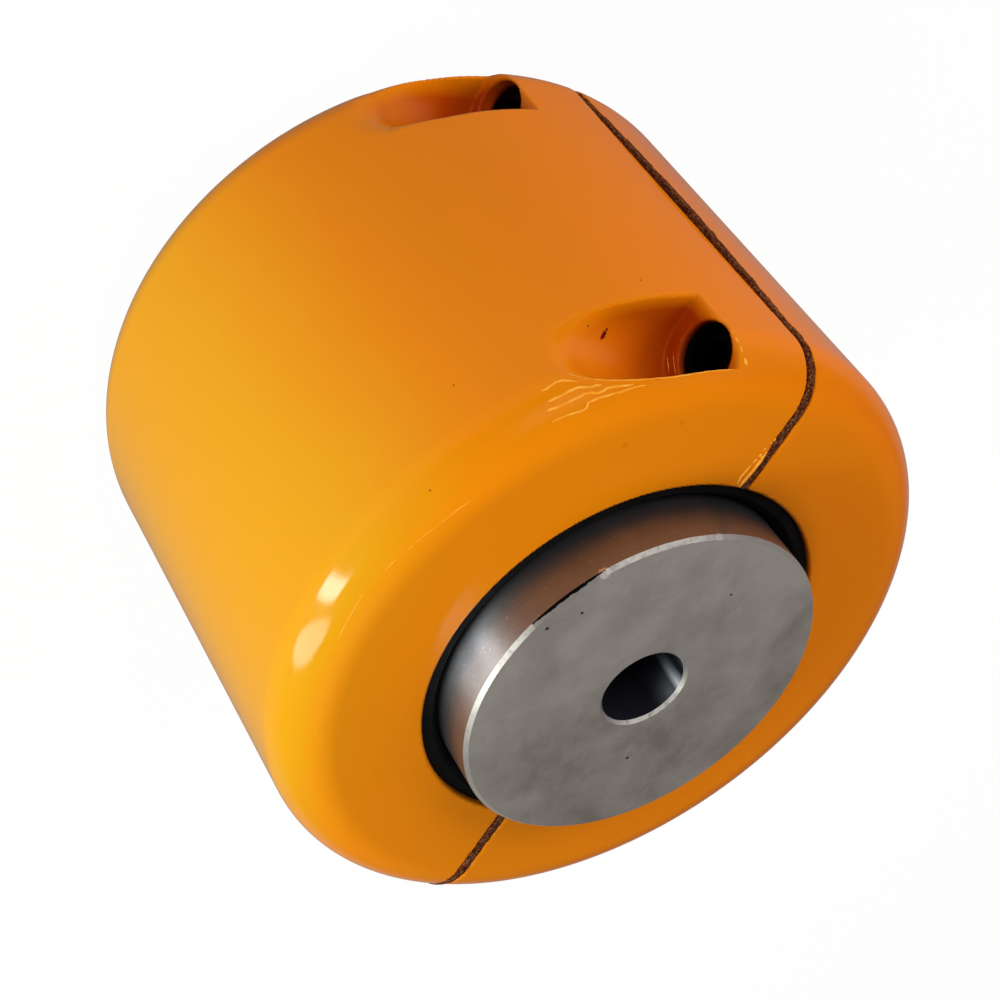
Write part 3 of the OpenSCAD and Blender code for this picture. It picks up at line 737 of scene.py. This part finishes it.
def threadTree():
    # each line becomes a thin rounded thread that wanders a little and thins out at its ends
    tree, given = geometryTree("paintThreads", Spacing=("Float", 0.0), Wander=("Float", 0.0), Bend=("Float", 1.0),
                               Seed=("Float", 0.0), Sides=("Int", 8), Material=("Material", None))
    curve = put(tree, "GeometryNodeMeshToCurve", {"Mesh": given["Geometry"]}).outputs[0]
    curve = put(tree, "GeometryNodeResampleCurve", {"Curve": curve, "Length": given["Spacing"]}, mode="LENGTH")
    centred = vectors(tree, "SUBTRACT", seededNoise(tree, given, "Bend")["Color"], (0.5, 0.5, 0.5))
    stray = {"Geometry": curve.outputs[0], "Offset": scaled(tree, centred, given["Wander"])}
    curve = put(tree, "GeometryNodeSetPosition", stray).outputs[0]
    wide = put(tree, "GeometryNodeInputNamedAttribute", {"Name": "wide"}, data_type="FLOAT").outputs[0]
    ring = {"Resolution": given["Sides"], "Radius": 0.5}
    ring = put(tree, "GeometryNodeCurvePrimitiveCircle", ring).outputs[0]
    thread = {"Curve": curve, "Profile Curve": ring, "Scale": wide, "Fill Caps": True}
    thread = put(tree, "GeometryNodeCurveToMesh", thread).outputs[0]
    finishTree(tree, thread, given["Material"])
    return tree


def threadPiece(name, lines):
    f = flaws
    placed = [(width, onPaint(points, f["sink"] * width).tolist()) for width, points in lines]
    piece = lineObject(name, placed)
    grown(piece, threads, Spacing=f["spacing"] * mm, Wander=f["wander"] * mm, Bend=perMm(f["bend"]),
          Seed=f["seed"], Sides=f["sides"], Material=highlightEnamel)
    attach(piece, "case")


threads = threadTree()
highlightEnamel = highlightEnamelMaterial()
threadPiece("enamel_cracks", flaws["cracks"])
threadPiece("lifted_enamel", flaws["lifted"])
threadPiece("rim_highlight_thread", [(flaws["rim"], pocketRim())])
threadPiece("enamel_scratches", flaws["scratches"])
print("cracks and lifted paint placed")


# Gaskets: sheet trimmed by hand, so the edge that shows is ragged
fray = {
    "voxel": 0.25, "depth": 0.38, "tear": 2.6, "crumb": 0.7, "across": 0.12, "seed": 5.0, "still": 1.05,
    # in mm below the middle of the case: where the sheet lies back, and where it stands out above the middle
    "ends": {"Tuck": 0.35, "TuckFrom": 31.0, "TuckTo": 35.0, "Proud": 0.22, "ProudFrom": -27.0, "ProudTo": -33.0,
             "ProudOff": -40.0, "ProudEnd": -42.2},
}


def sheetTree():
    # pushes the sheet's cut edge in and out by two sizes of noise; its flat faces barely move, its lower end is
    # tucked in and its upper end stands a little proud
    floats = ["Depth", "Tear", "Crumb", "Across", "Middle", "Seed", "Still", *fray["ends"]]
    tree, given = geometryTree("frayedSheet", **dict.fromkeys(floats, ("Float", 0.0)), Material=("Material", None))
    both = maths(tree, "ADD", seededNoise(tree, given, "Tear")[0], seededNoise(tree, given, "Crumb")[0])
    push = maths(tree, "MULTIPLY", maths(tree, "SUBTRACT", both, given["Still"]), given["Depth"])
    level = axes(tree, put(tree, "GeometryNodeInputPosition").outputs[0])["Z"]
    level = maths(tree, "SUBTRACT", given["Middle"], level)
    tuck = spread(tree, level, given["TuckFrom"], given["TuckTo"], most=given["Tuck"])
    push = maths(tree, "SUBTRACT", push, tuck)
    rise = spread(tree, level, given["ProudFrom"], given["ProudTo"])
    fade = spread(tree, level, given["ProudEnd"], given["ProudOff"])
    push = maths(tree, "MULTIPLY_ADD", maths(tree, "MULTIPLY", rise, fade), given["Proud"], push)
    plane = put(tree, "ShaderNodeCombineXYZ", {"X": 1.0, "Y": given["Across"], "Z": 1.0}).outputs[0]
    way = vectors(tree, "MULTIPLY", put(tree, "GeometryNodeInputNormal").outputs[0], plane)
    moved = {"Geometry": given["Geometry"], "Offset": scaled(tree, way, push)}
    finishTree(tree, put(tree, "GeometryNodeSetPosition", moved).outputs[0], given["Material"])
    return tree


sheets = sheetTree()
for side, node in enumerate(("left_gasket", "right_gasket")):
    sheetPiece = remeshed(mergedCopy(node, node + "_sheet"), fray["voxel"])
    grown(sheetPiece, sheets, Depth=fray["depth"] * mm, Tear=perMm(fray["tear"]), Crumb=perMm(fray["crumb"]),
          Across=fray["across"], Middle=casting["middle"] * mm, Seed=fray["seed"] + side, Still=fray["still"],
          Material=finishes["gasket_sheet"], **{name: size * mm for name, size in fray["ends"].items()})
    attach(sheetPiece, "case")
    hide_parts(node)
print("gaskets frayed")


# Seals: one moulded section, in mm from the shaft's axis and from the middle of the case, swept round the hub
moulding = {
    "section": [(30.05, 39.1), (30.05, 40.1), (31.6, 41.7), (33.35, 41.7), (33.35, 39.95), (36.95, 39.95),
                (36.95, 33.55), (31.6, 33.55), (31.6, 37.3)],
    "radius": 33.0, "around": 180, "round": 0.22, "steps": 3,
}


def sweepTree():
    # rounds the corners of the section and sweeps it round the axis; its X is away from the axis and its Y is up
    tree, given = geometryTree("sweptSeal", Around=("Int", 64), Round=("Float", 0.0), Steps=("Int", 3),
                               Height=("Float", 0.0), Radius=("Float", 1.0), Material=("Material", None))
    section = put(tree, "GeometryNodeMeshToCurve", {"Mesh": given["Geometry"]}).outputs[0]
    section = {"Curve": section, "Radius": given["Round"], "Count": given["Steps"]}
    section = put(tree, "GeometryNodeFilletCurve", section, mode="POLY").outputs[0]
    path = {"Resolution": given["Around"], "Radius": given["Radius"]}
    path = put(tree, "GeometryNodeCurvePrimitiveCircle", path).outputs[0]
    ring = put(tree, "GeometryNodeCurveToMesh", {"Curve": path, "Profile Curve": section}).outputs[0]
    lift = put(tree, "ShaderNodeCombineXYZ", {"Z": given["Height"]}).outputs[0]
    ring = put(tree, "GeometryNodeTransform", {"Geometry": ring, "Translation": lift}).outputs[0]
    finishTree(tree, ring, given["Material"])
    return tree


sweep = sweepTree()
for end, node in ((1, "upper_seal"), (-1, "lower_seal")):
    corners = [((r - moulding["radius"]) * mm, -end * h * mm, 0) for r, h in moulding["section"][::end]]
    mesh = bpy.data.meshes.new(node + "_ring")
    mesh.from_pydata(corners, [(i, (i + 1) % len(corners)) for i in range(len(corners))], [])
    sealRing = newObject(node + "_ring", mesh)
    grown(sealRing, sweep, Around=moulding["around"], Round=moulding["round"] * mm, Steps=moulding["steps"],
          Height=casting["middle"] * mm, Radius=moulding["radius"] * mm, Material=finishes["seal_rubber"])
    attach(sealRing, "case")
    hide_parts(node)
print("seals swept")


# Floor, light and camera
stage = {
    "floor": "#8b8b89", "floorSize": 3.0, "floorSides": 96, "shadow": 0.18, "white": 1.17, "mirrored": 0.12,
    "sky": "#f4f1ec", "skyStrength": 0.09,
    "windows": [  # azimuth, elevation, width and height in m, watts, shape: these two show in the glossy enamel
        ("windowWide", -47, 17, 0.150, 0.375, 1.30, "ELLIPSE"),
        ("windowNarrow", -65, 11, 0.076, 0.30, 1.65, "RECTANGLE"),
    ],
    "fills": [  # azimuth, elevation and watts of large soft panels that only lighten
        ("fillBehind", 150, 8, 1.2), ("fillHigh", 0, 55, 0.95), ("fillLeft", -150, 30, 1.15),
        ("fillBack", 160, 38, 0.57), ("fillFront", -90, 8, 0.35),
    ],
    "lampAim": 50, "lampDistance": 0.55, "fillSize": 0.25, "windowTint": "#f8fff4", "fillTint": "#fff6f2",
}


def floorPiece():
    mesh = bpy.data.meshes.new("floor")
    made = bmesh.new()
    bmesh.ops.create_circle(made, cap_ends=True, segments=stage["floorSides"], radius=stage["floorSize"])
    made.to_mesh(mesh)
    made.free()
    floor = newObject("floor", mesh)
    material = bpy.data.materials.new("paperSweep")
    material.use_nodes = True
    tree = material.node_tree
    tree.nodes.clear()
    paper = put(tree, "ShaderNodeBsdfDiffuse", {"Color": linear(stage["floor"]), "Roughness": 0.5})
    white = put(tree, "ShaderNodeEmission", {"Color": (1, 1, 1, 1), "Strength": stage["white"]})
    # seen directly it is white with a light shadow, and the glossy enamel mirrors a little of the white
    path = put(tree, "ShaderNodeLightPath").outputs
    seen = maths(tree, "MULTIPLY_ADD", path["Is Glossy Ray"], stage["mirrored"], path["Is Camera Ray"])
    share = maths(tree, "MULTIPLY", seen, 1 - stage["shadow"])
    both = put(tree, "ShaderNodeMixShader", {0: share, 1: paper.outputs[0], 2: white.outputs[0]})
    put(tree, "ShaderNodeOutputMaterial", {"Surface": both.outputs[0]})
    mesh.materials.append(material)


def direction(azimuth, elevation):
    a, e = math.radians(azimuth), math.radians(elevation)
    return Vector((math.cos(a) * math.cos(e), math.sin(a) * math.cos(e), math.sin(e)))


def softbox(name, azimuth, elevation, width, height, power, shape, tint, shows):
    lamp = bpy.data.lights.new(name, "AREA")
    lamp.shape, lamp.size, lamp.size_y = shape, width, height
    lamp.energy, lamp.color = power, linear(tint)[:3]
    box = newObject(name, lamp)
    way = direction(azimuth, elevation)
    box.location = Vector((0, 0, stage["lampAim"] * mm)) + way * stage["lampDistance"]
    box.rotation_euler = way.to_track_quat("Z", "Y").to_euler()
    box.visible_glossy = shows


def sky():
    world = bpy.data.worlds.new("studio")
    world.use_nodes = True
    tree = world.node_tree
    tree.nodes.clear()
    back = put(tree, "ShaderNodeBackground", {"Color": linear(stage["sky"]), "Strength": stage["skyStrength"]})
    # seen directly it is as white as the floor
    white = put(tree, "ShaderNodeBackground", {"Color": (1, 1, 1, 1), "Strength": 1.0})
    seen = put(tree, "ShaderNodeLightPath").outputs["Is Camera Ray"]
    both = put(tree, "ShaderNodeMixShader", {0: seen, 1: back.outputs[0], 2: white.outputs[0]})
    put(tree, "ShaderNodeOutputWorld", {"Surface": both.outputs[0]})
    bpy.context.scene.world = world


# The camera looks down at the coupling and is turned round its own axis, as in the photograph; aim and distance in mm
shot = {
    "aim": (2.24, 0.54, 51.79), "azimuth": -120.89, "elevation": 39.68, "distance": 367.7, "turn": -145.25,
    "lens": 80.17, "sensor": 36, "near": 0.01, "far": 20,
}


def placeCamera():
    lens = bpy.data.cameras.new("camera")
    lens.lens, lens.sensor_width = shot["lens"], shot["sensor"]
    lens.clip_start, lens.clip_end = shot["near"], shot["far"]
    camera = newObject("camera", lens)
    back = direction(shot["azimuth"], shot["elevation"])
    up = (Vector((0, 0, 1)) - back * back.z).normalized()
    side = (-back).cross(up)
    turn = math.radians(shot["turn"])
    top = up * math.cos(turn) + side * math.sin(turn)
    right = top.cross(back)
    place = Matrix((right, top, back)).transposed().to_4x4()
    place.translation = Vector(shot["aim"]) * mm + back * shot["distance"] * mm
    camera.matrix_world = place
    bpy.context.scene.camera = camera


floorPiece()
sky()
for name, azimuth, elevation, width, height, power, shape in stage["windows"]:
    softbox(name, azimuth, elevation, width, height, power, shape, stage["windowTint"], True)
for name, azimuth, elevation, power in stage["fills"]:
    size = stage["fillSize"]
    softbox(name, azimuth, elevation, size, size, power, "SQUARE", stage["fillTint"], False)
placeCamera()
bpy.context.scene.view_settings.view_transform = "Standard"
print("stage and camera set")
